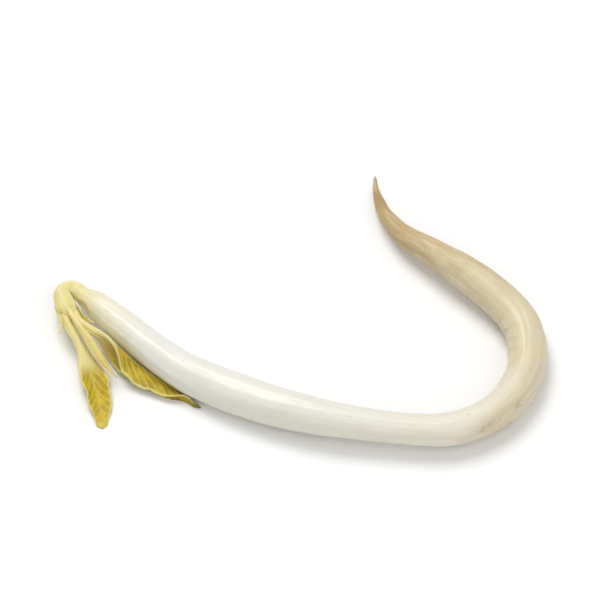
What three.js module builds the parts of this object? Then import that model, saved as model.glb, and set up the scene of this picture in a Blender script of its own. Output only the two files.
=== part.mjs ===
// One mung bean sprout, lying on a table as it falls: a stout white stem that narrows into its root at one
// end and, at the other, a crooked neck that carries two folded first leaves, their stipules and a young
// leaf. Millimetres and degrees. The table is Z = 0, +X runs along the sprout, and the stem bows towards -Y.

import * as THREE from "three";
import { mergeVertices } from "three/addons/utils/BufferGeometryUtils.js";

// ---- Driving dimensions ----

const STEM_LENGTH = 66; // from the scars of the seed leaves to the collar, where the root begins
const STEM_DIAMETER = 4.0; // at the stoutest place
const ROOT_LENGTH = 18; // from the collar to the tip
const NECK_DIAMETER = 1.6; // in the crook
const NODE_DIAMETER = 2.1; // at the neck's end, where the leaves stand
const LEAF_STALK_DIAMETER = 0.94;
const LEAF_THICKNESS = 0.34;
const YOUNG_LEAF_LENGTH = 9;
const STIPULE_LENGTH = 2.6;

const STEM_HEADING = -44; // in plan, from +X towards +Y, at the scars
const PRESSED_FLAT = 0.12; // how far the sprout's own weight flattens it on the table
const JOINT_GAP = 0.05; // between two organs that grow from each other

// The bends of the stem and root in plan, stretch by stretch, from the scars to the root's tip.
const AXIS_BENDS = [
  { length: 9, turn: 1 },
  { length: 30, turn: 43 },
  { length: 23, turn: 136 },
  { length: 10, turn: 5 },
  { length: 7, turn: -38 },
  { length: 5, turn: -14 },
];

// The bends of the neck, from the scars to the leaves: a tight crook that faces back along the stem.
const NECK_BENDS = [
  { length: 0.4, turn: 0 },
  { length: 0.8, turn: 50 },
  { length: 1.5, turn: 100 },
  { length: 2.0, turn: 6 },
];

// How thick the stem and root are, as a share of STEM_DIAMETER: [distance from the scars, share].
const AXIS_GIRTH = [
  [0, 0.42],
  [3, 0.68],
  [9, 0.84],
  [21, 1.0],
  [35, 0.78],
  [42, 0.83],
  [54, 0.95],
  [62, 0.92],
  [66, 0.85],
  [71, 0.63],
  [76, 0.42],
  [80, 0.24],
  [84, 0.08],
];

// How far the stem and root are raised off the table: [distance from the scars, lift].
const AXIS_LIFT = [
  [0, 1.5],
  [6, 0.6],
  [13, 0],
  [18, 0],
  [34, 0.8],
  [50, 0],
  [57, 0],
  [70, 1.2],
  [79, 0.7],
  [84, 0],
];

// ---- Curves ----

const radians = THREE.MathUtils.degToRad;

const totalLength = (bends) => bends.reduce((sum, bend) => sum + bend.length, 0);

// A smooth function through [place, value] knots, level at both ends.
function smoothThrough(knots) {
  const slopeAt = (i) => {
    if (i === 0 || i === knots.length - 1) return 0;
    return (knots[i + 1][1] - knots[i - 1][1]) / (knots[i + 1][0] - knots[i - 1][0]);
  };
  return (place) => {
    let i = 0;
    while (i < knots.length - 2 && place > knots[i + 1][0]) i += 1;
    const [start, from] = knots[i];
    const [end, to] = knots[i + 1];
    const span = end - start;
    const t = THREE.MathUtils.clamp((place - start) / span, 0, 1);
    const leaving = t * (1 - t) ** 2 * span * slopeAt(i);
    const arriving = t ** 2 * (t - 1) * span * slopeAt(i + 1);
    return from + (to - from) * t ** 2 * (3 - 2 * t) + leaving + arriving;
  };
}

// The line that an organ grows along: arcs in plan, and a height above the table.
class GrowthLine {
  static STEP = 0.05;

  constructor({ start, heading, bends, height }) {
    this.length = totalLength(bends);
    this.height = height;
    this.plan = [new THREE.Vector2(start.x, start.y)];
    let angle = radians(heading);
    for (const { length, turn } of bends) {
      const steps = Math.round(length / GrowthLine.STEP);
      for (let i = 0; i < steps; i += 1) {
        angle += radians(turn) / steps;
        const step = new THREE.Vector2(Math.cos(angle), Math.sin(angle)).multiplyScalar(length / steps);
        this.plan.push(this.plan.at(-1).clone().add(step));
      }
    }
  }

  pointAt(distance) {
    const place = THREE.MathUtils.clamp(distance / this.length, 0, 1) * (this.plan.length - 1);
    const i = Math.min(Math.floor(place), this.plan.length - 2);
    const flat = this.plan[i].clone().lerp(this.plan[i + 1], place - i);
    return new THREE.Vector3(flat.x, flat.y, this.height(distance));
  }

  // The point at a distance along the line, with the directions ahead, to its right and upwards there.
  frameAt(distance) {
    const reach = 3 * GrowthLine.STEP;
    const before = this.pointAt(Math.max(distance - reach, 0));
    const after = this.pointAt(Math.min(distance + reach, this.length));
    const ahead = after.sub(before).normalize();
    const right = ahead.clone().cross(new THREE.Vector3(0, 0, 1)).normalize();
    return { point: this.pointAt(distance), ahead, right, up: right.clone().cross(ahead) };
  }
}

// ---- Solids ----

// A closed organ along a line. section(distance, angle) is its outline's offset [right, up] from the line.
function organ({ name, line, from = 0, to, sides, rings, section, material }) {
  const tube = new THREE.CylinderGeometry(1, 1, to - from, sides, rings);
  tube.deleteAttribute("normal");
  tube.deleteAttribute("uv");
  const geometry = mergeVertices(tube);
  const position = geometry.getAttribute("position");
  for (let i = 0; i < position.count; i += 1) {
    const distance = (from + to) / 2 - position.getY(i);
    const reach = Math.hypot(position.getX(i), position.getZ(i));
    const angle = Math.atan2(position.getX(i), position.getZ(i));
    const [across, above] = section(distance, angle);
    const { point, right, up } = line.frameAt(distance);
    point.addScaledVector(right, across * reach).addScaledVector(up, above * reach);
    position.setXYZ(i, point.x, point.y, Math.max(point.z, 0));
  }
  geometry.computeVertexNormals();
  const mesh = new THREE.Mesh(geometry, material);
  mesh.name = name;
  return mesh;
}

const round = (radius) => (distance, angle) => [
  radius(distance, angle) * Math.cos(angle),
  radius(distance, angle) * Math.sin(angle),
];

// A blade folded along its midrib like a V that opens upwards, then turned by roll about its line.
// spread is the angle of each half from the fold's middle plane.
function folded({ halfWidth, halfThickness, spread, roll }) {
  const FOLD_RADIUS = 0.3;
  return (distance, angle) => {
    const open = Math.sin(radians(spread(distance)));
    const steep = Math.cos(radians(spread(distance)));
    const across = halfWidth(distance) * Math.cos(angle);
    const rounded = Math.hypot(across, FOLD_RADIUS);
    const middle = new THREE.Vector2(across * open, (rounded - FOLD_RADIUS) * steep);
    const outwards = new THREE.Vector2(-(across / rounded) * steep, open).normalize();
    middle.addScaledVector(outwards, halfThickness(distance) * Math.sin(angle));
    return middle.rotateAround(new THREE.Vector2(), radians(roll)).toArray();
  };
}

// ---- The organs of the sprout ----

const FLESH = new THREE.MeshStandardMaterial({ color: "#f0ece0", roughness: 0.35, metalness: 0 });
const ROOT_SKIN = new THREE.MeshStandardMaterial({ color: "#d2bd92", roughness: 0.55, metalness: 0 });
const PALE_SHOOT = new THREE.MeshStandardMaterial({ color: "#efe4a6", roughness: 0.4, metalness: 0 });
const YOUNG_LEAF = new THREE.MeshStandardMaterial({ color: "#ccb23c", roughness: 0.5, metalness: 0 });

const axisGirth = smoothThrough(AXIS_GIRTH);
const axisLift = smoothThrough(AXIS_LIFT);
const axisRadius = (distance) => (axisGirth(distance) * STEM_DIAMETER) / 2;

const axis = new GrowthLine({
  start: new THREE.Vector2(0, 0),
  heading: STEM_HEADING,
  bends: AXIS_BENDS,
  height: (distance) => axisRadius(distance) - PRESSED_FLAT + axisLift(distance),
});

// Where the two seed leaves dropped off, a low oval scar stands on each side of the stem.
function scarHeight(distance, angle) {
  const SCAR = { at: 1.4, halfLength: 1.1, halfAngle: 42, height: 0.13 };
  const along = (distance - SCAR.at) / SCAR.halfLength;
  const fromSide = THREE.MathUtils.radToDeg(Math.asin(Math.abs(Math.sin(angle))));
  return SCAR.height * Math.max(0, 1 - along ** 2 - (fromSide / SCAR.halfAngle) ** 2);
}

function stem() {
  return organ({
    name: "stem",
    line: axis,
    to: STEM_LENGTH,
    sides: 20,
    rings: 66,
    section: round((distance, angle) => axisRadius(distance) + scarHeight(distance, angle)),
    material: FLESH,
  });
}

function root() {
  return organ({
    name: "root",
    line: axis,
    from: STEM_LENGTH + JOINT_GAP,
    to: STEM_LENGTH + ROOT_LENGTH,
    sides: 20,
    rings: 24,
    section: round(axisRadius),
    material: ROOT_SKIN,
  });
}

const neckLength = totalLength(NECK_BENDS);
const neckLine = new GrowthLine({
  start: axis.pointAt(0),
  heading: STEM_HEADING + 180,
  bends: NECK_BENDS,
  height: smoothThrough([
    [0, axis.pointAt(0).z],
    [neckLength / 2, axis.pointAt(0).z + 0.2],
    [neckLength, axis.pointAt(0).z + 0.1],
  ]),
});

function neck() {
  const radius = smoothThrough([
    [0, axisRadius(0)],
    [neckLength / 2, NECK_DIAMETER / 2],
    [neckLength, NODE_DIAMETER / 2],
  ]);
  return organ({
    name: "neck",
    line: neckLine,
    from: JOINT_GAP,
    to: neckLength,
    sides: 20,
    rings: 16,
    section: round(radius),
    material: PALE_SHOOT,
  });
}

// A line that starts at the end of the neck, [across, above] its centre, and follows the given bends.
// heights are [share of the line's length, height above the table].
function lineFromNode({ across, above, bends, heights }) {
  const { point, ahead, right, up } = neckLine.frameAt(neckLength);
  point.addScaledVector(ahead, JOINT_GAP).addScaledVector(right, across).addScaledVector(up, above);
  return new GrowthLine({
    start: point,
    heading: THREE.MathUtils.radToDeg(Math.atan2(ahead.y, ahead.x)),
    bends,
    height: smoothThrough([[0, point.z], ...heights.map(([share, z]) => [share * totalLength(bends), z])]),
  });
}

// A first leaf: a round stalk that widens into a folded blade, which opens out again at its tip.
function firstLeaf({ name, line, stalk, halfWidth, tipHalfWidth, spread, roll }) {
  const stalkRadius = LEAF_STALK_DIAMETER / 2;
  const along = (share) => stalk + (line.length - stalk) * share;
  return organ({
    name,
    line,
    to: line.length,
    sides: 20,
    rings: 32,
    section: folded({
      halfWidth: smoothThrough([
        [0, stalkRadius],
        [stalk * 0.8, stalkRadius * 1.1],
        [along(0.32), halfWidth],
        [along(0.7), halfWidth * 0.7],
        [along(1), tipHalfWidth],
      ]),
      halfThickness: smoothThrough([
        [0, stalkRadius],
        [stalk * 0.8, stalkRadius],
        [along(0.25), LEAF_THICKNESS / 2],
        [along(1), LEAF_THICKNESS / 3],
      ]),
      spread: smoothThrough([
        [0, 90],
        [stalk, 75],
        [along(0.35), spread],
        [along(0.7), spread * 1.2],
        [along(1), 80],
      ]),
      roll,
    }),
    material: YOUNG_LEAF,
  });
}

// The long leaf lies along the stem on its side, its fold against the stem and its edges towards -Y.
function longLeaf() {
  return firstLeaf({
    name: "long_leaf",
    stalk: 4.2,
    halfWidth: 2.45,
    tipHalfWidth: 0.2,
    spread: 12,
    roll: -84,
    line: lineFromNode({
      across: -0.48,
      above: -0.1,
      bends: [
        { length: 0.5, turn: 0 },
        { length: 1.5, turn: 31 },
        { length: 6, turn: 0 },
        { length: 8.4, turn: -2.5 },
      ],
      heights: [
        [0.25, 1.9],
        [0.55, 0.65],
        [1, 0.2],
      ],
    }),
  });
}

// The short leaf lies half open on its back, its edges upwards.
function shortLeaf() {
  return firstLeaf({
    name: "short_leaf",
    stalk: 5.6,
    halfWidth: 1.75,
    tipHalfWidth: 0.5,
    spread: 48,
    roll: 6,
    line: lineFromNode({
      across: 0.48,
      above: -0.1,
      bends: [
        { length: 0.5, turn: 0 },
        { length: 1.5, turn: 6 },
        { length: 4, turn: -8 },
        { length: 7.2, turn: -16 },
      ],
      heights: [
        [0.3, 1.6],
        [0.6, 0.16],
        [1, 0.1],
      ],
    }),
  });
}

// The next leaf, still a thin spear, stands between the two.
function youngLeaf() {
  return organ({
    name: "young_leaf",
    line: lineFromNode({
      across: 0,
      above: 0.55,
      bends: [
        { length: 1, turn: 6 },
        { length: YOUNG_LEAF_LENGTH - 1, turn: 13 },
      ],
      heights: [
        [0.35, 2.8],
        [1, 1.3],
      ],
    }),
    to: YOUNG_LEAF_LENGTH,
    sides: 12,
    rings: 16,
    section: round(
      smoothThrough([
        [0, 0.28],
        [YOUNG_LEAF_LENGTH * 0.35, 0.34],
        [YOUNG_LEAF_LENGTH * 0.62, 0.5],
        [YOUNG_LEAF_LENGTH, 0.06],
      ]),
    ),
    material: PALE_SHOOT,
  });
}

// A stipule: a small pointed scale beside each leaf stalk. side is 1 on the neck's right and -1 on its left.
function stipule(name, side) {
  const HALF_WIDTH = 0.42;
  const HALF_THICKNESS = 0.07;
  return organ({
    name,
    line: lineFromNode({
      across: side * 1.05,
      above: 0,
      bends: [
        { length: 0.4, turn: 0 },
        { length: STIPULE_LENGTH - 0.4, turn: -38 * side },
      ],
      heights: [[1, 2.6]],
    }),
    to: STIPULE_LENGTH,
    sides: 12,
    rings: 12,
    section: folded({
      halfWidth: smoothThrough([
        [0, HALF_WIDTH * 0.8],
        [STIPULE_LENGTH * 0.3, HALF_WIDTH],
        [STIPULE_LENGTH, 0.06],
      ]),
      halfThickness: () => HALF_THICKNESS,
      spread: () => 80,
      roll: 90 * side,
    }),
    material: PALE_SHOOT,
  });
}

// ---- The sprout, with the middle of its box over the origin ----

const sprout = new THREE.Group();
sprout.add(
  stem(),
  root(),
  neck(),
  longLeaf(),
  shortLeaf(),
  youngLeaf(),
  stipule("long_leaf_stipule", -1),
  stipule("short_leaf_stipule", 1),
);
const middle = new THREE.Box3().setFromObject(sprout).getCenter(new THREE.Vector3());
sprout.position.set(-middle.x, -middle.y, 0);

export default sprout;
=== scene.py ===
"""A fresh mung bean sprout lying on a pale table.

A plump white stem bends round like a J into a tapering beige root. At the other end a crooked
neck carries two folded yellow leaves on their stalks, a thin young leaf and two stipules. Lengths
in the classes are millimetres, as a gardener would measure them, and meshes are made in metres.
"""

from __future__ import annotations

import enum
import itertools
import logging
import math
from collections.abc import Callable, Sequence
from dataclasses import dataclass, field

import bpy
import numpy as np
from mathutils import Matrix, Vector

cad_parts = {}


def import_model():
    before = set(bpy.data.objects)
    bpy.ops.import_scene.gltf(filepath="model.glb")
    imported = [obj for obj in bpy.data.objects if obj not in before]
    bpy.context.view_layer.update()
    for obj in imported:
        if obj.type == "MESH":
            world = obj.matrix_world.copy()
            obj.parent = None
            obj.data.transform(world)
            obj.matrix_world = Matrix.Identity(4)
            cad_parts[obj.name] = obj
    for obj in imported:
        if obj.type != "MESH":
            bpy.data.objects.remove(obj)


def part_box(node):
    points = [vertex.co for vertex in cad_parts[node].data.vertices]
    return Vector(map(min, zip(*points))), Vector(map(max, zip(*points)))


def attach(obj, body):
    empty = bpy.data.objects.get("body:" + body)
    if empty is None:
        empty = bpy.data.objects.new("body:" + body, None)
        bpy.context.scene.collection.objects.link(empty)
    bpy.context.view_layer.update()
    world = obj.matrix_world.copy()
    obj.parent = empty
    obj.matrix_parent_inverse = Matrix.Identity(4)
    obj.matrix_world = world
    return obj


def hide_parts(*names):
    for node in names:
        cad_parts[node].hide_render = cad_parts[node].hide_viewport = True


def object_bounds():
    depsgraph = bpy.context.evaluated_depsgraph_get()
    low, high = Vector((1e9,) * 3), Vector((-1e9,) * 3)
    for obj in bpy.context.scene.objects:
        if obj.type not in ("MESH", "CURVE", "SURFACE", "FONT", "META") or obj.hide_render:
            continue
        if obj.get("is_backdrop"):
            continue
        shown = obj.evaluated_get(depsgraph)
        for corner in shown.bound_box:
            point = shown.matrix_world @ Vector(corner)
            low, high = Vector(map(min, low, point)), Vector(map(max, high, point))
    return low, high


log = logging.getLogger("sprout")

MM = 0.001
Array = np.ndarray
Pair = tuple[float, float]
Pairs = tuple[Pair, ...]
Triple = tuple[float, float, float]
Colour = Triple
Stops = tuple[tuple[float, Colour], ...]
Socket = bpy.types.NodeSocket
Material = bpy.types.Material


# ---- Smooth functions, noise and growth lines ----


@dataclass(frozen=True)
class Profile:
    """A smooth function through (place, value) knots, level at both ends."""

    knots: Pairs

    def __call__(self, place: Array | float) -> Array:
        """Values at places.

        Args:
            place: where to read the function; beyond the knots it keeps the end values.

        Returns:
            An array of values, shaped like place.
        """
        at, value = np.array(self.knots, float).T
        slope = np.zeros(len(at))
        slope[1:-1] = (value[2:] - value[:-2]) / (at[2:] - at[:-2])
        place = np.asarray(place, float)
        i = np.clip(np.searchsorted(at, place, side="right") - 1, 0, len(at) - 2)
        span = at[i + 1] - at[i]
        t = np.clip((place - at[i]) / span, 0, 1)
        rise = t * t * (3 - 2 * t)
        leaving = t * (1 - t) ** 2 * span * slope[i]
        arriving = t * t * (t - 1) * span * slope[i + 1]
        return value[i] + (value[i + 1] - value[i]) * rise + leaving + arriving


def smoothstep(start: float, end: float, value: Array) -> Array:
    """Rises from 0 at start to 1 at end, level at both."""
    t = np.clip((value - start) / (end - start), 0, 1)
    return t * t * (3 - 2 * t)


def hump(centre: float, half_width: float, value: Array) -> Array:
    """A bell of height 1 at centre."""
    return np.exp(-(((value - centre) / half_width) ** 2))


def tapered(start: float, end: float, value: Array, least: float = 0.02) -> Array:
    """1 up to start, then rounded off towards end, where the square root of least is left."""
    return np.sqrt(np.clip(1 - smoothstep(start, end, value) ** 2, least, 1))


class Grain:
    """Repeatable smooth noise in three dimensions, from about -1 to 1, one cell wide per unit."""

    TABLE = 256
    GAIN = 1.6

    def __init__(self, seed: int) -> None:
        """Draws the gradients of the noise.

        Args:
            seed: the number that settles the draw.
        """
        source = np.random.default_rng(seed)
        gradients = source.normal(size=(self.TABLE, 3))
        self.gradients = gradients / np.linalg.norm(gradients, axis=1, keepdims=True)
        self.shuffle = source.permutation(self.TABLE)

    def __call__(self, x: Array | float, y: Array | float = 0.0, z: Array | float = 0.0) -> Array:
        """Noise at points.

        Args:
            x: first coordinate.
            y: second coordinate.
            z: third coordinate.

        Returns:
            An array as wide as the coordinates broadcast to.
        """
        place = np.stack(np.broadcast_arrays(np.asarray(x, float), y, z), axis=-1)
        cell = np.floor(place).astype(int)
        within = place - cell
        fade = within**3 * (within * (within * 6 - 15) + 10)
        total = np.zeros(place.shape[:-1])
        for corner in itertools.product((0, 1), repeat=3):
            index = np.zeros(place.shape[:-1], int)
            for k in range(3):
                index = self.shuffle[(index + cell[..., k] + corner[k]) % self.TABLE]
            reach = ((within - corner) * self.gradients[index]).sum(axis=-1)
            weight = np.prod(np.where(corner, fade, 1 - fade), axis=-1)
            total += reach * weight
        return total * self.GAIN


@dataclass(frozen=True)
class Lumps:
    """Unevenness that follows noise: how many lumps to a millimetre along an organ and across."""

    grain: Grain
    along: float
    across: float
    share: float = 1.0

    def __call__(self, along: Array, x: Array, y: Array) -> Array:
        """The lumps' heights, from about -share to share."""
        return self.share * self.grain(along * self.along, x * self.across, y * self.across)


@dataclass(frozen=True)
class Frames:
    """Points along a line with the directions ahead, to the right and upwards at each."""

    point: Array
    ahead: Array
    right: Array
    up: Array


@dataclass(frozen=True)
class GrowthLine:
    """The line an organ grows along: arcs in plan, with a height above the table.

    start is a point in plan, heading is in degrees from +X towards +Y, and bends are (length,
    turn) pairs. wander is how far the line strays sideways from the arcs, as real growth does.
    """

    start: Pair
    heading: float
    bends: Pairs
    height: Callable[[Array], Array]
    wander: Callable[[Array], Array] = field(default=np.zeros_like)

    @property
    def length(self) -> float:
        """The whole length of the line."""
        return sum(length for length, _ in self.bends)

    def _plan(self, distance: Array) -> tuple[Array, Array]:
        """The line in plan; beyond its ends it runs straight on.

        Args:
            distance: distances from its start.

        Returns:
            The plan points and the headings, in radians, at the distances.
        """
        point = np.array(self.start, float)
        angle = math.radians(self.heading)
        place = np.zeros((len(distance), 2))
        heading = np.zeros(len(distance))
        begun = 0.0
        for number, (length, turn) in enumerate(self.bends):
            curve = math.radians(turn) / length
            last = number == len(self.bends) - 1
            mine = (distance >= begun) | (number == 0)
            along = distance - begun
            bent = np.clip(along, 0, length)
            past_end = np.where(last & (along > length), along - length, 0)
            spare = np.where(along < 0, along, past_end)
            half = curve * bent / 2
            chord = bent * np.sinc(half / np.pi)
            ends = angle + curve * bent
            x = point[0] + chord * np.cos(angle + half) + spare * np.cos(ends)
            y = point[1] + chord * np.sin(angle + half) + spare * np.sin(ends)
            place[mine] = np.stack([x, y], axis=-1)[mine]
            heading[mine] = ends[mine]
            half = curve * length / 2
            chord = length * math.sin(half) / half if half else length
            point = point + chord * np.array([math.cos(angle + half), math.sin(angle + half)])
            angle += curve * length
            begun += length
        return place, heading

    def points(self, distance: Array) -> Array:
        """Points of the line.

        Args:
            distance: distances from its start.

        Returns:
            The points in millimetres, one a row.
        """
        distance = np.asarray(distance, float)
        plan, heading = self._plan(distance)
        aside = self.wander(distance)
        x = plan[:, 0] + aside * np.sin(heading)
        y = plan[:, 1] - aside * np.cos(heading)
        return np.stack([x, y, self.height(distance)], axis=-1)

    def frames(self, distance: Array) -> Frames:
        """Points of the line with its directions there.

        Args:
            distance: distances from its start.

        Returns:
            The frames at the distances.
        """
        distance = np.asarray(distance, float)
        reach = 0.1
        ahead = self.points(distance + reach) - self.points(distance - reach)
        ahead /= np.linalg.norm(ahead, axis=1, keepdims=True)
        right = np.cross(ahead, (0.0, 0.0, 1.0))
        right /= np.linalg.norm(right, axis=1, keepdims=True)
        return Frames(self.points(distance), ahead, right, np.cross(right, ahead))


# ---- Meshes ----


@dataclass(frozen=True)
class Piece:
    """A finished mesh with the part of the frame that it stands for."""

    thing: bpy.types.Object
    node: str
    slot: str

    def join_frame(self) -> None:
        """Puts the piece on the frame's body in place of its node, and reports it."""
        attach(self.thing, "root")
        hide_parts(self.node)
        log.info("%s: %d faces, for %s", self.thing.name, len(self.thing.data.polygons), self.node)


def settle(height: Array, softness: float = 0.05) -> Array:
    """Heights kept above the table, with a soft turn where an underside is pressed flat on it."""
    return (height + np.sqrt(height**2 + softness**2)) / 2


def around(sides: int) -> Array:
    """Angles round an organ: 0 on its right, a quarter turn at its top."""
    return np.linspace(0, 2 * np.pi, sides, endpoint=False)[None, :]


def polar(radius: Array, turn: Array) -> tuple[Array, Array]:
    """Places to the right and above at a radius and an angle."""
    return radius * np.cos(turn), radius * np.sin(turn)


def stations(start: float, end: float, count: int, crowding: float = 0.15) -> Array:
    """Distances of rings along an organ, closer together towards its ends so that they look round.

    Args:
        start: the first ring's distance.
        end: the last ring's distance.
        count: how many rings there are.
        crowding: how much closer the rings stand at the ends, 0 to 1.

    Returns:
        The distances.
    """
    t = np.linspace(0, 1, count)
    eased = (1 - crowding) * t + crowding * (1 - np.cos(np.pi * t)) / 2
    return start + (end - start) * eased


@dataclass(frozen=True)
class Skin:
    """The closed surface of an organ: rings of points, and named values at each point.

    cut_ends says that the ends have sharp rims, as where another organ goes straight on.
    """

    rings: Array
    layers: dict[str, Array]
    cut_ends: bool = False
    rim_angle: float = 60.0

    @classmethod
    def sweep(
        cls,
        line: GrowthLine,
        distance: Array,
        offsets: tuple[Array, Array],
        layers: dict[str, Array],
        cut_ends: bool = False,
    ) -> Skin:
        """A skin around a line.

        Args:
            line: the line that the organ grows along.
            distance: how far along it each ring stands.
            offsets: each point's offset to the line's right and upwards from it, ring by ring.
            layers: named values at each point.
            cut_ends: whether the ends have sharp rims.

        Returns:
            The skin, settled on the table.
        """
        frames = line.frames(distance)
        across, above = offsets
        rings = frames.point[:, None] + across[..., None] * frames.right[:, None]
        rings = rings + above[..., None] * frames.up[:, None]
        rings[..., 2] = settle(rings[..., 2])
        named = {name: np.broadcast_to(layer, across.shape) for name, layer in layers.items()}
        return cls(rings, named, cut_ends)

    def _faces(self) -> list[Sequence[int]]:
        """Joins the rings with quads, and closes both ends with triangles.

        Returns:
            The corners of each face; the last two points are the middles of the ends.
        """
        count, sides, _ = self.rings.shape
        here = np.arange(count * sides).reshape(count, sides)
        beside = np.roll(here, -1, axis=1)
        quads = np.stack([here[:-1], here[1:], beside[1:], beside[:-1]], axis=-1).reshape(-1, 4)
        first, last = count * sides, count * sides + 1
        caps = [(first, a, b) for a, b in zip(here[0], beside[0])]
        caps += [(last, b, a) for a, b in zip(here[-1], beside[-1])]
        return quads.tolist() + caps

    def piece(self, node: str, slot: str, material: Material) -> Piece:
        """Makes the mesh, in metres, and links it to the scene.

        Args:
            node: the node of the frame that the organ stands for.
            slot: the frame's material slot for it.
            material: its finish.

        Returns:
            The organ's piece, named after its node.
        """
        name = "sprout_" + node
        ends = (self.rings[0].mean(axis=0), self.rings[-1].mean(axis=0))
        points = np.concatenate([self.rings.reshape(-1, 3), np.array(ends)]) * MM
        mesh = bpy.data.meshes.new(name)
        mesh.from_pydata(points.tolist(), [], self._faces())
        for title, layer in self.layers.items():
            values = np.concatenate([layer.reshape(-1), [layer[0].mean(), layer[-1].mean()]])
            attribute = mesh.attributes.new(title, "FLOAT", "POINT")
            attribute.data.foreach_set("value", values.astype(np.float32))
        mesh.shade_smooth()
        mesh.validate()
        if self.cut_ends:
            mesh.set_sharp_from_angle(angle=math.radians(self.rim_angle))
        mesh.materials.append(material)
        return Piece(add(name, mesh), node, slot)


def add(name: str, data: bpy.types.ID) -> bpy.types.Object:
    """Links a new object to the scene.

    Args:
        name: its name.
        data: its mesh, lamp or camera.

    Returns:
        The object.
    """
    thing = bpy.data.objects.new(name, data)
    bpy.context.scene.collection.objects.link(thing)
    return thing


# ---- Materials ----


class Signal:
    """A number that varies over a surface, written with plain arithmetic."""

    def __init__(self, paint: Paint, socket: Socket) -> None:
        """Wraps a socket of a paint's node tree."""
        self.paint = paint
        self.socket = socket

    def _math(self, operation: str, *values: Signal | float) -> Signal:
        """The result of a Math node on some values."""
        made = self.paint.node("ShaderNodeMath", {"operation": operation}, dict(enumerate(values)))
        return Signal(self.paint, made.outputs[0])

    def __add__(self, other: Signal | float) -> Signal:
        """self + other."""
        return self._math("ADD", self, other)

    __radd__ = __add__

    def __sub__(self, other: Signal | float) -> Signal:
        """self - other."""
        return self._math("SUBTRACT", self, other)

    def __rsub__(self, other: Signal | float) -> Signal:
        """other - self."""
        return self._math("SUBTRACT", other, self)

    def __mul__(self, other: Signal | float) -> Signal:
        """self * other."""
        return self._math("MULTIPLY", self, other)

    __rmul__ = __mul__

    def rise(self, start: float, end: float) -> Signal:
        """A smooth step, which falls where start is above end.

        Args:
            start: where self gives 0.
            end: where self gives 1.

        Returns:
            The step.
        """
        values = {0: self, 1: start, 2: end, 3: 0.0, 4: 1.0}
        if start > end:
            values = {0: self, 1: end, 2: start, 3: 1.0, 4: 0.0}
        made = self.paint.node("ShaderNodeMapRange", {"interpolation_type": "SMOOTHSTEP"}, values)
        return Signal(self.paint, made.outputs[0])


Input = Signal | Socket | float | Sequence[float]


@dataclass(frozen=True)
class Texture:
    """Noise in the skin: how fast it changes along the organ and across it, and how fine it is."""

    along: float
    across: float
    detail: float = 3.0
    roughness: float = 0.5
    shift: float = 0.0


@dataclass(frozen=True)
class Tissue:
    """How living tissue takes light: the share, colours and depth of its glow, and its relief."""

    glow: float
    reach: Colour
    depth: float = 0.5
    relief_height: float = 0.03
    refraction: float = 1.42
    coat_roughness: float = 0.18


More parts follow.
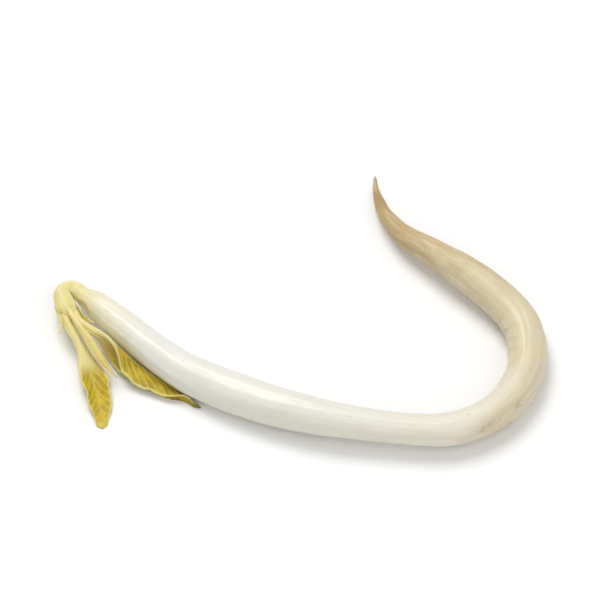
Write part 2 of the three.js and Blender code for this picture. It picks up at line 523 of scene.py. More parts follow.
class Paint:
    """The nodes of a material, or of the sky, under construction."""

    def __init__(self, owner: Material | bpy.types.World) -> None:
        """Clears the owner's nodes.

        Args:
            owner: the material or world that the nodes belong to.
        """
        self.owner = owner
        owner.use_nodes = True
        self.tree = owner.node_tree
        self.tree.nodes.clear()

    @classmethod
    def named(cls, name: str) -> Paint:
        """Starts a new material."""
        return cls(bpy.data.materials.new(name))

    def node(
        self, kind: str, settings: dict[str, object], values: dict[int | str, Input]
    ) -> bpy.types.Node:
        """Adds a node.

        Args:
            kind: the node's type.
            settings: its properties, set before its sockets.
            values: what its input sockets hold or are linked to, by index or name.

        Returns:
            The node.
        """
        made = self.tree.nodes.new(kind)
        for name, setting in settings.items():
            setattr(made, name, setting)
        for key, value in values.items():
            if isinstance(value, Signal):
                value = value.socket
            if isinstance(value, Socket):
                self.tree.links.new(value, made.inputs[key])
            else:
                made.inputs[key].default_value = value
        return made

    def layer(self, name: str) -> Signal:
        """The values that the mesh carries under a name."""
        made = self.node("ShaderNodeAttribute", {"attribute_name": name}, {})
        return Signal(self, made.outputs["Fac"])

    def place(self, *stretch: Signal | float) -> Socket:
        """A vector from three numbers."""
        return self.node("ShaderNodeCombineXYZ", {}, dict(enumerate(stretch))).outputs[0]

    def noise(self, vector: Input, scale: float, detail: float, roughness: float) -> Signal:
        """Noise from 0 to 1 at a place."""
        values = {"Vector": vector, "Scale": scale, "Detail": detail, "Roughness": roughness}
        return Signal(self, self.node("ShaderNodeTexNoise", {}, values).outputs[0])

    def textures(self, spot: tuple[Signal, Signal, Signal], *kinds: Texture) -> list[Signal]:
        """Several textures of one skin.

        Args:
            spot: the place along the organ and the two places across it.
            kinds: the textures.

        Returns:
            A signal from 0 to 1 for each texture.
        """
        along, x, y = spot
        made = []
        for kind in kinds:
            across = (x * kind.across, y * kind.across + kind.shift)
            spread = self.place(along * kind.along, *across)
            made.append(self.noise(spread, 1.0, kind.detail, kind.roughness))
        return made

    def cells(self, vector: Input, scale: float) -> Signal:
        """A net of cells.

        Args:
            vector: the place.
            scale: how many cells there are along one unit.

        Returns:
            The distance to the nearest cell's edge.
        """
        settings = {"feature": "DISTANCE_TO_EDGE"}
        made = self.node("ShaderNodeTexVoronoi", settings, {"Vector": vector, "Scale": scale})
        return Signal(self, made.outputs["Distance"])

    def mix(self, share: Signal | float, first: Input, second: Input) -> Socket:
        """A colour between two colours.

        Args:
            share: 0 for the first colour, 1 for the second.
            first: a colour, or a socket that gives one.
            second: the same.

        Returns:
            The colour's socket.
        """
        colours = {6: first, 7: second}
        for key, colour in colours.items():
            if isinstance(colour, tuple):
                colours[key] = (*colour, 1.0)
        made = self.node("ShaderNodeMix", {"data_type": "RGBA"}, {0: share, **colours})
        return made.outputs[2]

    def blend(self, along: Signal, stops: Stops) -> Socket:
        """A colour that changes smoothly from stop to stop.

        Args:
            along: what runs past the stops.
            stops: the value and the colour of each stop, in rising order.

        Returns:
            The colour's socket.
        """
        colour: Input = stops[0][1]
        for (start, _), (end, following) in itertools.pairwise(stops):
            colour = self.mix(along.rise(start, end), colour, following)
        return colour

    def washes(self, colour: Input, *washes: tuple[Signal | float, Colour]) -> Input:
        """Lays thin washes over a colour.

        Args:
            colour: the colour underneath.
            washes: the strength and the colour of each wash, the last on top.

        Returns:
            The colour on top.
        """
        for share, hue in washes:
            colour = self.mix(share, colour, hue)
        return colour

    def bump(self, height: Signal, distance: float) -> Socket:
        """A surface normal bent by a height that is distance metres tall."""
        values = {"Strength": 1.0, "Distance": distance, "Height": height}
        return self.node("ShaderNodeBump", {}, values).outputs[0]

    def looked_at(self) -> Signal:
        """Tells the surface that is seen from the surface that throws light.

        Returns:
            1 where the eye, a mirror or a glass sees the surface, and otherwise 0.
        """
        path = self.node("ShaderNodeLightPath", {}, {})
        rays = ("Is Camera Ray", "Is Glossy Ray", "Is Transmission Ray")
        camera, glossy, through = (Signal(self, path.outputs[ray]) for ray in rays)
        return (camera + glossy + through).rise(0.0, 1.0)

    def finished(self, values: dict[str, Input]) -> Material:
        """Ends the material with a Principled surface.

        Args:
            values: what the surface's inputs hold or are linked to.

        Returns:
            The material.
        """
        surface = self.node("ShaderNodeBsdfPrincipled", {}, values).outputs[0]
        self.node("ShaderNodeOutputMaterial", {}, {"Surface": surface})
        return self.owner

    def living(
        self,
        tissue: Tissue,
        colour: Input,
        roughness: Signal,
        relief: Signal,
        coat: Signal | float = 0.0,
    ) -> Material:
        """Ends the material with the surface of living tissue.

        Args:
            tissue: how it takes light.
            colour: its colour.
            roughness: its roughness.
            relief: its fine relief, in shares of the tissue's relief_height.
            coat: how wet its skin looks, 0 to 1.

        Returns:
            The material.
        """
        return self.finished(
            {
                "Base Color": colour,
                "Roughness": roughness,
                "IOR": tissue.refraction,
                "Subsurface Weight": tissue.glow,
                "Subsurface Radius": tissue.reach,
                "Subsurface Scale": tissue.depth * MM,
                "Coat Weight": coat,
                "Coat Roughness": tissue.coat_roughness,
                "Normal": self.bump(relief, tissue.relief_height * MM),
            }
        )


@dataclass(frozen=True)
class Flesh:
    """The skin of stem and root: white and smooth by the leaves, beige and dull towards the tip.

    The mesh carries along (millimetres from the seed leaves' scars), turn_x and turn_y (the place
    round the stem, millimetres), crease (1 in a wrinkle), scuff (1 on a scuff) and scar (1 on a
    scar). The bend's outside reads the colour stops a set number of millimetres further along than
    its inside, so it looks darker and beiger.
    """

    name: str
    hues: Stops = (
        (-0.5, (0.840, 0.740, 0.335)),
        (4.5, (0.870, 0.830, 0.660)),
        (10.0, (0.835, 0.825, 0.755)),
        (30.0, (0.835, 0.815, 0.720)),
        (42.0, (0.830, 0.785, 0.645)),
        (54.0, (0.720, 0.617, 0.415)),
        (65.0, (0.715, 0.600, 0.395)),
        (71.0, (0.595, 0.455, 0.250)),
        (76.0, (0.525, 0.377, 0.170)),
        (80.5, (0.420, 0.265, 0.095)),
        (84.0, (0.230, 0.120, 0.040)),
    )
    streak: Colour = (0.900, 0.895, 0.850)
    pale_fibre: Colour = (0.850, 0.780, 0.600)
    # shade is a darker tone: the random clouds and bruises use it, and the creases use it as
    # painted shade.
    shade: Colour = (0.600, 0.480, 0.270)
    stain: Colour = (0.400, 0.245, 0.095)
    scar_hue: Colour = (0.700, 0.560, 0.250)
    fibres: Texture = Texture(0.20, 4.6, detail=4.0, roughness=0.55)
    strands: Texture = Texture(0.16, 2.2, roughness=0.55)
    clouds: Texture = Texture(0.3, 0.8)
    grains: Texture = Texture(1.6, 6.0, roughness=0.6)
    specks: Texture = Texture(0.9, 2.8, detail=1.0)
    bruises: Texture = Texture(0.16, 0.9, detail=4.0, roughness=0.65, shift=7.0)
    tissue: Tissue = Tissue(glow=0.4, reach=(1.0, 0.85, 0.55), relief_height=0.035)
    rooting: Pair = (50.0, 74.0)
    # Where the bend's outside starts to read the colour stops further along, and by how many
    # millimetres: it is darker and beiger there.
    outside_span: Pair = (39.0, 46.0)
    outside_shift: float = 9.0
    patchiness: float = 9.0
    dullness: float = 0.40
    root_dullness: float = 0.18
    wetness: float = 0.32

    def material(self) -> Material:
        """Mixes the skin's colours, sheen and fine relief.

        Returns:
            The finished material.
        """
        paint = Paint.named(self.name)
        along, turn_x = paint.layer("along"), paint.layer("turn_x")
        fibres, strands, clouds, grains, specks, bruises = paint.textures(
            (along, turn_x, paint.layer("turn_y")),
            *(self.fibres, self.strands, self.clouds, self.grains, self.specks, self.bruises),
        )
        rooted = along.rise(*self.rooting)
        # The bend's outside is darker and beiger: the colour stops are read further along there.
        outside = turn_x.rise(0.0, 1.6) * along.rise(*self.outside_span)
        patches = (clouds - 0.5) * self.patchiness * along.rise(3.0, 20.0)
        colour = paint.washes(
            paint.blend(along + outside * self.outside_shift + patches, self.hues),
            (fibres.rise(0.42, 0.75) * (1 - rooted) * 0.30, self.streak),
            (strands.rise(0.45, 0.75) * (0.25 + rooted * 0.25), self.pale_fibre),
            (clouds.rise(0.45, 0.8) * (0.10 + rooted * 0.30), self.shade),
            (fibres.rise(0.52, 0.8) * rooted * 0.25, self.stain),
            (bruises.rise(0.62, 0.74) * 0.22 * along.rise(8.0, 20.0), self.shade),
            # Painted shade: the creases across the inside of the bend and the wrinkles round the
            # old root are darkened.
            (paint.layer("crease") * (0.22 + rooted * 0.4), self.shade),
            (specks.rise(0.75, 0.80) * 0.30, self.stain),
            (paint.layer("scuff") * grains.rise(0.40, 0.60) * 0.55, self.stain),
            (paint.layer("scar") * 0.7, self.scar_hue),
        )
        roughness = self.dullness + rooted * self.root_dullness + (grains - 0.5) * 0.16
        relief = fibres * (0.6 + rooted * 0.6) + strands * 0.5 + grains * (0.25 + rooted * 0.9)
        coat = self.wetness * (1 - rooted * 0.8)
        return paint.living(self.tissue, colour, roughness, relief, coat)


@dataclass(frozen=True)
class Shoot:
    """The pale yellow, slightly glassy skin of the neck, the young leaf and the stipules.

    The mesh carries along (0 at the base, 1 at the tip), rib (1 on a rib) and turn_x and turn_y.
    """

    name: str
    base: Colour = (0.840, 0.740, 0.335)
    tip: Colour = (0.795, 0.645, 0.175)
    rib_hue: Colour = (0.880, 0.815, 0.470)
    shade: Colour = (0.640, 0.500, 0.140)
    stain: Colour = (0.420, 0.270, 0.080)
    fibres: Texture = Texture(2.5, 5.0, detail=4.0, roughness=0.6)
    clouds: Texture = Texture(4.0, 1.5, detail=2.0)
    specks: Texture = Texture(9.0, 3.4, detail=1.0)
    tissue: Tissue = Tissue(glow=0.5, reach=(1.0, 0.8, 0.3))

    def material(self) -> Material:
        """Mixes the skin's colours and fine relief.

        Returns:
            The finished material.
        """
        paint = Paint.named(self.name)
        along = paint.layer("along")
        spot = (along, paint.layer("turn_x"), paint.layer("turn_y"))
        fibres, clouds, specks = paint.textures(spot, self.fibres, self.clouds, self.specks)
        colour = paint.washes(
            self.base,
            (along.rise(0.2, 1.0), self.tip),
            (clouds.rise(0.45, 0.8) * 0.4, self.shade),
            (paint.layer("rib") * 0.6, self.rib_hue),
            (specks.rise(0.70, 0.78) * 0.3 + along.rise(0.90, 1.0) * 0.5, self.stain),
        )
        return paint.living(self.tissue, colour, 0.34 + fibres * 0.14, fibres)


@dataclass(frozen=True)
class Blade:
    """A young leaf's yellow skin, pale along the veins, the stalk and the edge.

    The mesh carries along (0 where the blade begins, 1 at its tip, below 0 on the stalk), across
    (0 at the midrib, 1 at the edge), vein (1 on a vein) and span_x and span_y (the place on the
    blade, millimetres).
    """

    name: str
    deep: Colour
    bright: Colour
    vein_hue: Colour
    edge_hue: Colour
    tip_hue: Colour
    bruise: Colour
    stalk_hue: Colour = (0.830, 0.730, 0.330)
    tissue: Tissue = Tissue(glow=0.4, reach=(1.0, 0.75, 0.15), depth=0.35, relief_height=0.045)

    def material(self) -> Material:
        """Mixes the blade's colours and fine relief.

        Returns:
            The finished material.
        """
        paint = Paint.named(self.name)
        along, across = paint.layer("along"), paint.layer("across")
        spot = paint.place(paint.layer("span_x"), paint.layer("span_y"), 0.0)
        clouds = paint.noise(spot, 0.55, 3.0, 0.6)
        mottle = paint.noise(spot, 1.7, 3.0, 0.6)
        net = paint.cells(spot, 3.4)
        colour = paint.washes(
            self.deep,
            (clouds.rise(0.38, 0.66), self.bright),
            (mottle.rise(0.55, 0.75) * 0.45, self.bruise),
            (net.rise(0.10, 0.0) * 0.22, self.vein_hue),
            (paint.layer("vein") * 0.75, self.vein_hue),
            (across.rise(0.84, 0.98) * along.rise(-0.1, 0.1) * 0.85, self.edge_hue),
            (along.rise(0.86, 1.0) * 0.8, self.tip_hue),
            (along.rise(0.22, -0.05), self.stalk_hue),
        )
        leafy = along.rise(-0.02, 0.2)
        relief = (net.rise(0.0, 0.3) * 0.45 + mottle * 0.5) * leafy + mottle * 0.2
        return paint.living(self.tissue, colour, 0.42 + mottle * 0.2, relief)


@dataclass(frozen=True)
class Tabletop:
    """A plain matt surface that shows the shadow, seen as white but throwing less light back."""

    name: str = "tabletop_white"
    seen: Colour = (1.0, 1.0, 1.0)
    thrown: Colour = (0.80, 0.79, 0.76)
    roughness: float = 0.9

    def material(self) -> Material:
        """Mixes the two whites.

        Returns:
            The finished material.
        """
        paint = Paint.named(self.name)
        colour = paint.mix(paint.looked_at(), self.thrown, self.seen)
        return paint.finished({"Base Color": colour, "Roughness": self.roughness})


# ---- The sprout's organs ----


@dataclass(frozen=True)
class Axis:
    """Stem and root as one line of growth, with its thickness and its height off the table.

    Distances run from the scars of the seed leaves to the root's tip. The sways are (reach,
    stretch) pairs: how far the line strays and over what length.
    """

    stoutest: float = 4.0
    pressed: float = 0.12
    heading: float = -44.0
    bends: Pairs = ((9, 1), (30, 43), (23, 136), (10, 5), (7, -38), (5, -14))
    girth: Profile = Profile(
        ((0, 0.42), (3, 0.68), (9, 0.84), (21, 1.0), (35, 0.78), (42, 0.83), (54, 0.95))
        + ((62, 0.92), (66, 0.85), (71, 0.63), (76, 0.42), (80, 0.24), (84, 0.08))
    )
    lift: Profile = Profile(
        ((0, 1.5), (6, 0.6), (13, 0), (18, 0), (34, 0.8), (50, 0), (57, 0), (70, 1.2))
        + ((79, 0.7), (84, 0))
    )
    long_sway: Pair = (0.16, 9.0)
    short_sway: Pair = (0.05, 3.5)
    stray: Grain = Grain(11)

    def radius(self, distance: Array) -> Array:
        """Half the thickness at distances from the scars."""
        return self.girth(distance) * self.stoutest / 2

    def height(self, distance: Array) -> Array:
        """The line's height above the table."""
        return self.radius(distance) - self.pressed + self.lift(distance)

    def wander(self, distance: Array) -> Array:
        """How far the line strays sideways from its plain arcs.

        Args:
            distance: distances from the scars.

        Returns:
            The strays, 0 at both ends.
        """
        held = smoothstep(1, 8, distance) * smoothstep(84, 78, distance)
        (far, long), (near, short) = self.long_sway, self.short_sway
        slow, quick = self.stray(distance / long), self.stray(distance / short, 5.0)
        return held * (far * slow + near * quick)

    def placed_line(self, stem_box: tuple[Vector, Vector], stem_length: float) -> GrowthLine:
        """The line where the frame's stem lies.

        Args:
            stem_box: lowest and highest corners of the frame's stem, in metres.
            stem_length: the stem's length along the line.

        Returns:
            The line, with its wander.
        """
        distance = np.linspace(0, stem_length, 400)
        radius = self.radius(distance)[:, None]
        frames = GrowthLine((0.0, 0.0), self.heading, self.bends, self.height).frames(distance)
        turn = around(60)
        ring = frames.point[:, None] + (radius * np.cos(turn))[..., None] * frames.right[:, None]
        ring = ring + (radius * np.sin(turn))[..., None] * frames.up[:, None]
        middle = (ring.min(axis=(0, 1)) + ring.max(axis=(0, 1))) / 2
        wanted = (stem_box[0] + stem_box[1]) / 2 / MM
        start = (wanted.x - middle[0], wanted.y - middle[1])
        return GrowthLine(start, self.heading, self.bends, self.height, self.wander)


@dataclass(frozen=True)
class Scar:
    """The scars of the two seed leaves, one on each side; half_width is in degrees."""

    place: float = 1.4
    half_length: float = 1.15
    half_width: float = 42.0
    rim: float = 0.07
    hollow: float = 0.05

    def __call__(self, distance: Array, turn: Array) -> Array:
        """How far points are from a scar's middle, 1 on its outline."""
        aside = np.arcsin(np.abs(np.sin(turn))) / math.radians(self.half_width)
        return np.sqrt(((distance - self.place) / self.half_length) ** 2 + aside**2)


@dataclass(frozen=True)
class Scuff:
    """A small scuff in the skin; side and half_width are in degrees round the stem."""

    place: float
    side: float
    reach: float
    half_width: float = 9.0

    def __call__(self, distance: Array, turn: Array) -> Array:
        """How worn points are, 0 to 1."""
        aside = (np.degrees(turn) - self.side + 180) % 360 - 180
        return hump(self.place, self.reach, distance) * hump(0.0, self.half_width, aside)


@dataclass(frozen=True)
class StemAndRoot:
    """The stem with its root: one skin that changes from smooth white to wrinkled beige.

    swells are (height, length, row of the noise), and flutes are (share, count, phase) waves round
    the stem. A pair of heights or depths is the stem's, and what the old root has on top of it.
    """

    axis: Axis
    line: GrowthLine
    collar: float = 66.0
    tip: float = 84.0
    sides: int = 96
    bend: Pair = (42.0, 61.0)
    ageing: Pair = (60.0, 76.0)
    withering: Pair = (83.0, 84.02)
    ripple: Grain = Grain(3)
    fine: Grain = Grain(17)
    swells: tuple[Triple, ...] = ((0.022, 6.5, 3.0), (0.010, 2.1, 9.0))
    flutes: tuple[Triple, ...] = ((0.5, 5, 1.0), (0.3, 9, 2.0), (0.2, 14, 0.0))
    flute_depth: float = 0.022
    lumps: tuple[Lumps, ...] = (Lumps(fine, 0.55, 0.9), Lumps(fine, 1.3, 2.0, share=0.5))
    lump_heights: Pair = (0.022, 0.03)
    shrivelling: Lumps = Lumps(fine, 0.9, 4.5)
    shrivel_height: float = 0.05
    striae: Lumps = Lumps(ripple, 0.16, 2.6)
    stria_heights: Pair = (0.014, 0.02)
    crease_depths: Pair = (0.055, 0.02)
    scar: Scar = Scar()
    scuffs: tuple[Scuff, ...] = (Scuff(43.4, 22, 0.7), Scuff(44.5, 33, 0.9), Scuff(47.5, 31, 0.6))
    scuff_depth: float = 0.02

    def _aged(self, heights: Pair, along: Array) -> Array:
        """A height along the line: the first of the pair, and the second on top of it with age."""
        return heights[0] + heights[1] * smoothstep(*self.ageing, along)

    def _creases(self, distance: Array, turn: Array) -> Array:
        """Where the skin folds: across the inside of the bend, and all round the root.

        Args:
            distance: distances along the line.
            turn: angles round it.

        Returns:
            How deep in a fold each point is, 0 to 1.
        """
        start, end = self.bend
        x, y = np.cos(turn), np.sin(turn)
        inside = np.clip(-x, 0, 1) ** 1.5
        bent = smoothstep(start - 3, start + 5, distance) * smoothstep(end + 3, end - 5, distance)
        drift = self.ripple(distance / 2.2, y * 0.9, 4.0)
        pleat = np.clip(np.cos(distance * 3.4 + drift * 4.0) - 0.35, 0, 1) / 0.65
        old = smoothstep(60, 74, distance)
        wavy = distance * 4.1 + self.ripple(distance * 0.8, x * 1.3, y * 1.3) * 7
        ring = np.clip(np.cos(wavy) - 0.45, 0, 1) * 1.8
        partial = smoothstep(-0.1, 0.5, self.fine(distance * 0.5, x * 0.9, y * 0.9))
        return np.clip(pleat * inside * bent * 0.9 + ring * partial * old * 0.55, 0, 1)

    def _skin(self, start: float, end: float, rings: int) -> Skin:
        """The skin between two distances.

        Args:
            start: where it begins.
            end: where it ends.
            rings: how many rings it has.

        Returns:
            The skin, cut straight at both ends.
        """
        distance = stations(start, end, rings)
        turn = around(self.sides)
        along = distance[:, None]
        plain = self.axis.radius(along)
        x, y = polar(plain, turn)
        old = self._aged((0.0, 1.0), along)
        swells = (height * self.ripple(along / long, row) for height, long, row in self.swells)
        twist = turn + 0.35 * self.ripple(along / 14.0, 1.0)
        fluting = sum(share * np.cos(count * twist + phase) for share, count, phase in self.flutes)
        lumps = sum(lump(along, x, y) for lump in self.lumps)
        shrivel = self.shrivelling(along, x, y) * self.shrivel_height
        crease = self._creases(along, turn)
        scuff = np.clip(sum(mark(along, turn) for mark in self.scuffs), 0, 1)
        outline = self.scar(along, turn)
        rim = hump(0.85, 0.2, outline)
        radius = plain * sum(swells, start=1.0)
        radius = radius + fluting * self.flute_depth * plain * self._aged((1.0, 1.2), along)
        radius = radius + lumps * self._aged(self.lump_heights, along) + shrivel * old * plain
        radius = radius + self.striae(along, x, y) * self._aged(self.stria_heights, along)
        radius = radius - crease * self._aged(self.crease_depths, along) * plain
        radius = radius - self.scuff_depth * scuff
        radius = radius + self.scar.rim * rim
        radius = radius - self.scar.hollow * smoothstep(0.8, 0.3, outline)
        plainness = smoothstep(0.9, 0.0, along)
        radius = radius + (plain - radius) * plainness
        radius = radius * tapered(*self.withering, along)
        flatness = 0.975 + 0.025 * plainness
        layers = {
            "along": along,
            "turn_x": x,
            "turn_y": y,
            "crease": crease,
            "scuff": scuff,
            "scar": np.clip(rim + 0.3 * smoothstep(0.9, 0.5, outline), 0, 1),
        }
        offsets = (radius * np.cos(turn), radius * np.sin(turn) * flatness)
        return Skin.sweep(self.line, distance, offsets, layers, cut_ends=True)

    def stem(self) -> Piece:
        """The white stem, from the scars to the collar."""
        skin = self._skin(0.0, self.collar, rings=620)
        return skin.piece("stem", "stem_flesh", Flesh("stem_skin").material())

    def root(self) -> Piece:
        """The beige root, from the collar to its brown tip."""
        skin = self._skin(self.collar, self.tip, rings=260)
        return skin.piece("root", "root_skin", Flesh("root_skin").material())


@dataclass(frozen=True)
class Neck:
    """The crooked shoot between the scars and the leaves, swollen where the leaves stand."""

    axis: Axis
    root_line: GrowthLine
    thickness: float = 1.6
    node_thickness: float = 2.1
    bends: Pairs = ((0.4, 0), (0.8, 50), (1.5, 100), (2.0, 6))
    sunk: float = 0.5
    past: float = 0.75
    ribs: int = 5
    clefts: Pair = (1.15, 1.99)
    cleft_half_width: float = 0.3
    dome_before: float = 1.15
    dome_length: float = 1.92
    ripple: Grain = Grain(29)
    lumps: tuple[Lumps, ...] = (Lumps(ripple, 1.2, 1.4), Lumps(ripple, 2.6, 3.0, share=0.5))

    @property
    def line(self) -> GrowthLine:
        """The neck's line, from the scars to the leaves.

        Returns:
            The line, which starts where the stem's line does.
        """
        start = self.root_line.points(np.array([0.0]))[0]
        length = sum(stretch for stretch, _ in self.bends)
        height = Profile(((0, start[2]), (length / 2, start[2] + 0.2), (length, start[2] + 0.1)))
        return GrowthLine((start[0], start[1]), self.axis.heading + 180, self.bends, height)

    def from_node(
        self, across: float, above: float, bends: Pairs, heights: Pairs, sunk: float
    ) -> GrowthLine:
        """A line that grows out of the neck's end.

        Args:
            across: how far to the right of the neck's centre it starts.
            above: how far above the centre it starts.
            bends: its (length, turn) stretches from the node on.
            heights: its heights above the table, at shares of its length.
            sunk: how far inside the node it begins.

        Returns:
            The line, whose distance 0 is inside the node.
        """
        frames = self.line.frames(np.array([self.line.length]))
        start = frames.point[0] + frames.right[0] * across + frames.up[0] * above
        start = start - frames.ahead[0] * sunk
        heading = math.degrees(math.atan2(frames.ahead[0][1], frames.ahead[0][0]))
        total = sum(stretch for stretch, _ in bends)
        knots = [(0.0, start[2]), (sunk, start[2])]
        knots += [(sunk + share * total, height) for share, height in heights]
        profile = Profile(tuple(knots))
        return GrowthLine((start[0], start[1]), heading, ((sunk, 0.0), *bends), profile)

    def build(self) -> Piece:
        """Sweeps the neck and domes it over the bases of the leaves.

        Returns:
            The neck.
        """
        line = self.line
        distance = stations(-self.sunk, line.length + self.past, 200)
        turn = around(80)
        along = distance[:, None]
        share = along / line.length
        start = float(self.axis.radius(np.array(0.0)))
        middle = (line.length / 2, self.thickness / 2)
        plain = Profile(((0, start), middle, (line.length, self.node_thickness / 2)))(along)
        dome = np.clip((along - line.length + self.dome_before) / self.dome_length, 0, 1)
        dome = np.sqrt(np.clip(1 - dome**1.8, 0.02, 1))
        tucked = 1 - 0.25 * smoothstep(0.02, -0.5, along)
        grown = smoothstep(0.0, 0.9, along)
        swollen = smoothstep(line.length - 2.2, line.length - 0.6, along)
        lobes = np.abs(np.cos(turn)) ** 1.5 * 0.10
        for cleft in self.clefts:
            lobes = lobes - 0.12 * hump(cleft, self.cleft_half_width, turn)
        x, y = polar(plain, turn)
        rib = np.clip(np.cos(self.ribs * turn + 2.0 * self.ripple(along / 2.5)), 0, 1) ** 3
        lumps = sum(lump(along, x, y) for lump in self.lumps)
        growth = grown * (0.05 * rib + (0.04 + 0.03 * swollen) * lumps)
        radius = plain * (1 + growth + lobes * swollen)
        radius = radius * dome * tucked
        layers = {"along": share * 0.5, "turn_x": x, "turn_y": y, "rib": rib}
        skin = Skin.sweep(line, distance, polar(radius, turn), layers)
        return skin.piece("neck", "neck_flesh", Shoot("neck_skin").material())


class Fold(enum.Enum):
    """How a first leaf is folded: each half's angle from the fold's middle plane, in degrees."""

    SHUT = 12.0
    HALF_OPEN = 48.0


@dataclass(frozen=True)
class FirstLeaf:
    """A first leaf: a grooved stalk that widens into a folded, veined, crinkled blade.

    evenness is the width of its far half as a share of the near half's.
    """

    neck: Neck
    node: str
    fold: Fold
    roll: float
    across: float
    bends: Pairs
    heights: Pairs
    stalk: float
    half_width: float
    tip_half_width: float
    finish: Blade
    seed: int
    evenness: float = 1.0
    above: float = -0.1
    stalk_thickness: float = 0.94
    thickness: float = 0.26
    sunk: float = 1.1
    fold_radius: float = 0.34
    vein_gap: float = 1.2
    vein_half_width: float = 0.075
    vein_height: float = 0.055
    midrib_half_width: float = 0.26
    midrib_height: float = 0.20
    wave_height: float = 0.13
    rings: int = 420
    sides: int = 176

    def _girth(self, stalk_end: float, *blade: Pair) -> Profile:
        """Half a width or a depth along the leaf.

        Args:
            stalk_end: what the stalk's radius is multiplied by near its end.
            blade: the blade's knots.

        Returns:
            The profile of stalk and blade.
        """
        radius = self.stalk_thickness / 2
        stalk = (
            (0, radius * 0.8),
            (self.sunk * 0.8, radius * 1.08),
            (self.sunk + 0.6, radius * 1.06),
            (self.sunk + 1.7, radius * 0.92),
            (self.sunk + self.stalk * 0.8, radius * stalk_end),
        )
        return Profile((*stalk, *blade))

    def _veins(self, place: Array, across: Array, grain: Grain) -> Array:
        """The side veins: 1 along their lines, 0 between them.

        Args:
            place: millimetres along the blade.
            across: millimetres from the midrib, signed.
            grain: noise that bends the veins.

        Returns:
            The veins' strength at each point.
        """
        reach = np.abs(across)
        drift = 0.3 * grain(place * 0.5, across * 0.7) + np.where(across > 0, 0.35, 0.0)
        count = (place - 1.9 * reach**0.92 + drift) / self.vein_gap
        off = np.abs((count + 0.5) % 1.0 - 0.5) * self.vein_gap * 0.5
        return hump(0.0, self.vein_half_width, off) * smoothstep(0.05, 0.3, reach)

    def _folded(
        self, across: Array, depth: Array, outer: Array, spread: Array
    ) -> tuple[Array, Array]:
        """Folds a flat section about its midrib, without letting its halves meet.

        Args:
            across: millimetres from the midrib, signed.
            depth: millimetres from the leaf's middle surface, towards the inside of the fold.
            outer: whether each point is on the outside of the fold.
            spread: each half's angle from the fold's middle plane, in degrees.

        Returns:
            The section's places across and above the line.
        """
        opened, steep = np.sin(np.radians(spread)), np.cos(np.radians(spread))
        rounded = np.hypot(across, self.fold_radius)
        out_x, out_y = -(across / rounded) * steep, opened + 0 * across
        size = np.hypot(out_x, out_y)
        out_x, out_y = out_x / size, out_y / size
        room = opened * rounded / np.maximum(steep, 1e-3) * size
        depth = np.minimum(depth, np.where(outer, 0.55 * room - 0.03, 0.85 * room))
        above = (rounded - self.fold_radius) * steep + out_y * depth
        return across * opened + out_x * depth, above

    def build(self) -> Piece:
        """Sinks the veins, crinkles and folds the blade, and sweeps it with its stalk.

        Returns:
            The leaf.
        """
        line = self.neck.from_node(self.across, self.above, self.bends, self.heights, self.sunk)
        grain = Grain(self.seed)
        distance = stations(0.0, line.length, self.rings)
        turn = around(self.sides)
        along = distance[:, None]
        base = self.sunk + self.stalk
        blade = line.length - base
        share = (along - base) / blade
        leafy = smoothstep(-0.1, 0.25, share)
        ending = tapered(0.93, 1.004, share)
        half_width = self._girth(
            1.1,
            (base + blade * 0.32, self.half_width),
            (base + blade * 0.7, self.half_width * 0.7),
            (base + blade, self.tip_half_width),
        )(along)
        half_depth = self._girth(
            0.9,
            (base + blade * 0.25, self.thickness / 2),
            (base + blade, self.thickness / 2.6),
        )(along)
        folding = ((0, 90), (base, 75), (base + blade * 0.35, self.fold.value))
        folding = (*folding, (base + blade * 0.7, self.fold.value * 1.2), (base + blade, 80))
        half_width = half_width * ending * (1 + 0.05 * leafy * grain(along * 1.1, 3.0))
        across = half_width * np.cos(turn)
        across = across * np.where(across > 0, 1 - (1 - self.evenness) * leafy, 1)
        side = np.sign(np.sin(turn)) * np.abs(np.sin(turn)) ** (1 - 0.62 * leafy)
        outer = side < 0
        vein = self._veins(share * blade, across, grain) * leafy
        midrib = hump(0.0, self.midrib_half_width, across) * leafy * (1 - 0.6 * share)
        ribs = self.vein_height * vein + self.midrib_height * midrib
        edge = np.abs(np.cos(turn))
        depth = half_depth * ending * side - np.where(outer, ribs, -0.02 * vein)
        quilt = 0.075 * (1 - vein) * grain(share * blade * 1.2, across * 1.1, 2.0)
        beat = share * blade * 2.3 + 2.6 * grain(share * blade * 0.45, 7.0 + 3.0 * np.sign(across))
        waves = self.wave_height * edge**3 * np.sin(beat) * smoothstep(0.0, 0.3, share)
        curl = 0.10 * edge**4 * np.abs(half_width)
        depth = depth + leafy * ending * (quilt + waves + curl * 0.4)
        x, y = self._folded(across, depth, outer, Profile(folding)(along))
        grooves = 0.10 * np.cos(4 * turn) + 0.05 * np.cos(7 * turn + along * 0.3)
        channel = 0.16 * hump(np.pi / 2, 0.35, turn)
        ridge = (grooves - channel) * (1 - leafy) * (self.stalk_thickness / 2)
        x, y = x + ridge * np.cos(turn), y + ridge * np.sin(turn)
        roll = np.radians(self.roll + 7 * leafy * grain(share * 2.0, 11.0))
        layers = {
            "along": share,
            "across": edge,
            "vein": np.clip(vein + midrib, 0, 1),
            "span_x": share * blade,
            "span_y": across + 3.0 * (side > 0),
        }
        offsets = (x * np.cos(roll) - y * np.sin(roll), x * np.sin(roll) + y * np.cos(roll))
        skin = Skin.sweep(line, distance, offsets, layers)
        return skin.piece(self.node, "leaf", self.finish.material())


